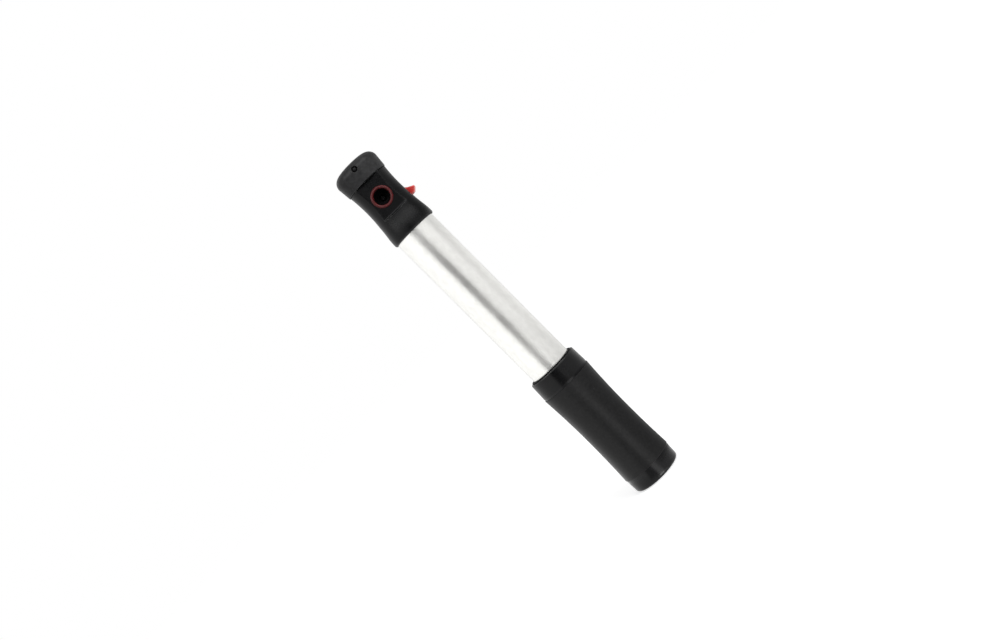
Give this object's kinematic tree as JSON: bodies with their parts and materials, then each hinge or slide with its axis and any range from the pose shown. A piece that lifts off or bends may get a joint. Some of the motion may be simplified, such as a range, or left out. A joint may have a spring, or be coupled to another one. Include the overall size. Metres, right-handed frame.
{
  "type": "mini hand pump",
  "caption": "Closed mini hand pump: waisted black head with a red-ringed valve port and red lock lever, silver barrel, and a gripped black handle that pulls out on a piston rod.",
  "frame": {"origin": "middle of the flat end of the handle, on which the closed pump stands", "axes": "+Z along the pump from the handle to the head, -Y out of the valve port, +X to the side where the lever's tip shows"},
  "size_m": [0.0301, 0.0292, 0.2172],
  "materials": {
    "head_plastic": "satin moulded",
    "cap_plastic": "satin moulded",
    "pin_steel_black": "blackened",
    "red_collar": "red anodised",
    "red_lever": "moulded",
    "rubber_black": "matt",
    "plunger_plastic": "moulded",
    "steel": "plain",
    "plug_aluminium": "turned",
    "barrel_aluminium": "satin anodised",
    "bush_plastic": "moulded",
    "rod_aluminium": "drawn",
    "piston_plastic": "moulded",
    "tube_aluminium": "black anodised",
    "grip_rubber": "satin",
    "gloss_black": "gloss moulded"
  },
  "bodies": {
    "pump_body": {"head_housing": "head_plastic", "top_cap": "cap_plastic", "cap_pin": "pin_steel_black", "valve_collar": "red_collar", "valve_gasket": "rubber_black", "lever_pin": "steel", "valve_plug": "plug_aluminium", "plug_oring": "rubber_black", "check_spring": "steel", "barrel_tube": "barrel_aluminium", "guide_bush": "bush_plastic"},
    "rod": {"piston_rod": "rod_aluminium", "piston_head": "piston_plastic", "piston_cup": "rubber_black", "piston_screw": "steel", "rod_bumper": "rubber_black", "rod_screw": "steel", "rod_washer": "steel"},
    "handle": {"handle_tube": "tube_aluminium", "rod_anchor": "bush_plastic", "grip_sleeve": "grip_rubber", "front_collar": "gloss_black", "mouth_bush": "bush_plastic", "end_cap": "gloss_black"},
    "lever": {"lock_lever": "red_lever"},
    "plunger": {"gasket_plunger": "plunger_plastic", "plunger_oring": "rubber_black", "core_pin": "pin_steel_black"},
    "valve_ball": {"check_ball": "steel"}
  },
  "joints": [
    {"name": "handle_turn", "type": "hinge", "parent": "handle", "child": "rod", "pos_m": [0, 0, 0.009], "axis": [0, 0, 1], "continuous": true},
    {"name": "pump_stroke", "type": "slide", "parent": "rod", "child": "pump_body", "axis": [0, 0, 1], "range_m": [0, 0.1312]},
    {"name": "lever_swing", "type": "hinge", "parent": "pump_body", "child": "lever", "pos_m": [0, 0.00945, 0.1948], "axis": [0, 0, 1], "range_deg": [0, 90]},
    {"name": "gasket_push", "type": "slide", "parent": "pump_body", "child": "plunger", "axis": [0, -1, 0], "range_m": [0, 0.0016], "deforming": ["valve_gasket"]},
    {"name": "ball_lift", "type": "slide", "parent": "pump_body", "child": "valve_ball", "axis": [0, 0, 1], "range_m": [0, 0.001], "stiffness_N_per_m": 40, "deforming": ["check_spring"]}
  ],
  "couplings": [
    {"joint": "lever_swing", "follows": "gasket_push", "rad_per_m": 981.74}
  ]
}
